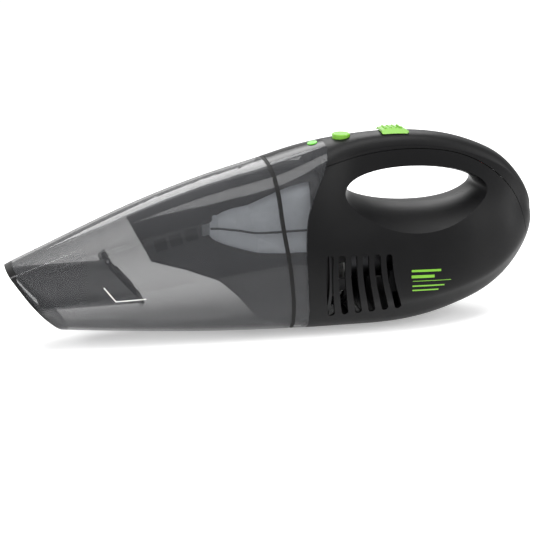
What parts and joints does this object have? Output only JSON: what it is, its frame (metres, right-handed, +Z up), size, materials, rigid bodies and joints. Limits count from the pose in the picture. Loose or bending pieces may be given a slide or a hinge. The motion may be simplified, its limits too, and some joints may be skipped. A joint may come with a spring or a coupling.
{
  "type": "handheld vacuum",
  "caption": "Cordless handheld vacuum with a clear lift-off dust bowl, filter cage, flap in the inlet duct and a handle with hand opening.",
  "frame": {"origin": "middle of the object's box at the height of its belly, which rests on the floor", "axes": "+X towards the tail, -X towards the nozzle, -Y towards the user's left hand side when the nozzle points away, +Z up"},
  "size_m": [0.4221, 0.1081, 0.1546],
  "materials": {
    "smoky_clear": "clear smoky plastic",
    "smoky_dark": "dark smoky plastic",
    "satin_black": "satin",
    "gloss_black": "gloss",
    "lime": "satin gloss",
    "black_rubber": "matte",
    "grey_plastic": "matte",
    "white_plastic": "matte",
    "filter_cloth": "pleated filter cloth",
    "screen": "fine woven screen",
    "steel": "brushed",
    "dark_steel": "blackened",
    "spring_steel": "bright",
    "bronze": "sintered",
    "brass": "bright",
    "copper": "enamelled wire",
    "magnet": "ferrite",
    "cell_wrap": "shrink sleeve",
    "nickel": "nickel strip",
    "board": "circuit board",
    "led_green": "diffusing",
    "wire_red": "insulation"
  },
  "bodies": {
    "body": {"bowl_seal": "black_rubber", "front_collar": "smoky_clear", "led_lens": "led_green", "top_strip": "gloss_black", "charge_led": "smoky_dark", "housing_left": "satin_black", "housing_right": "satin_black", "handle_cover": "satin_black", "housing_screws": "steel", "filter_bulkhead": "grey_plastic", "fan_shroud": "grey_plastic", "motor_can": "dark_steel", "front_bush": "bronze", "rear_bush": "bronze", "motor_end_cap": "gloss_black", "motor_terminals": "brass", "motor_magnets": "magnet", "motor_screws": "steel", "motor_saddle": "grey_plastic", "battery_cells": "cell_wrap", "battery_tabs": "nickel", "battery_cradle": "grey_plastic", "charge_board": "board", "slide_switch": "gloss_black", "button_spring": "spring_steel", "spring_seat": "grey_plastic", "dc_jack": "gloss_black", "jack_pin": "nickel", "motor_leads": "wire_red", "battery_leads": "wire_red", "jack_leads": "wire_red"},
    "bowl": {"dust_bowl": "smoky_clear", "inlet_duct": "smoky_clear", "flap_pin": "steel"},
    "flap": {"inlet_flap": "black_rubber"},
    "filter": {"filter_cage": "smoky_dark", "snout_screen": "screen", "filter_cloth": "filter_cloth", "filter_flange": "gloss_black", "filter_seal": "black_rubber"},
    "release": {"release_button": "lime", "latch_arm": "grey_plastic"},
    "slider": {"power_slider": "lime", "switch_lever": "white_plastic"},
    "rotor": {"motor_shaft": "steel", "fan_impeller": "white_plastic", "motor_armature": "steel", "motor_windings": "copper"}
  },
  "joints": [
    {"name": "bowl_slide", "type": "slide", "parent": "body", "child": "bowl", "axis": [-1, 0, 0], "range_m": [0, 0.2]},
    {"name": "filter_slide", "type": "slide", "parent": "body", "child": "filter", "axis": [-1, 0, 0], "range_m": [0, 0.08]},
    {"name": "flap_hinge", "type": "hinge", "parent": "bowl", "child": "flap", "pos_m": [-0.13427, 0, 0.06405], "axis": [0, -1, 0], "range_deg": [0, 34], "stiffness_Nm_per_rad": 0.002},
    {"name": "button_press", "type": "slide", "parent": "body", "child": "release", "axis": [0, 0, -1], "range_m": [0, 0.003], "stiffness_N_per_m": 700, "deforming": ["button_spring"]},
    {"name": "power_slide", "type": "slide", "parent": "body", "child": "slider", "axis": [-1, 0, 0], "range_m": [0, 0.006]},
    {"name": "motor_spin", "type": "hinge", "parent": "body", "child": "rotor", "pos_m": [0.07, 0, 0.052], "axis": [1, 0, 0], "continuous": true}
  ],
  "couplings": [
    {"joint": "filter_slide", "follows": "bowl_slide", "ratio": 0.4}
  ]
}
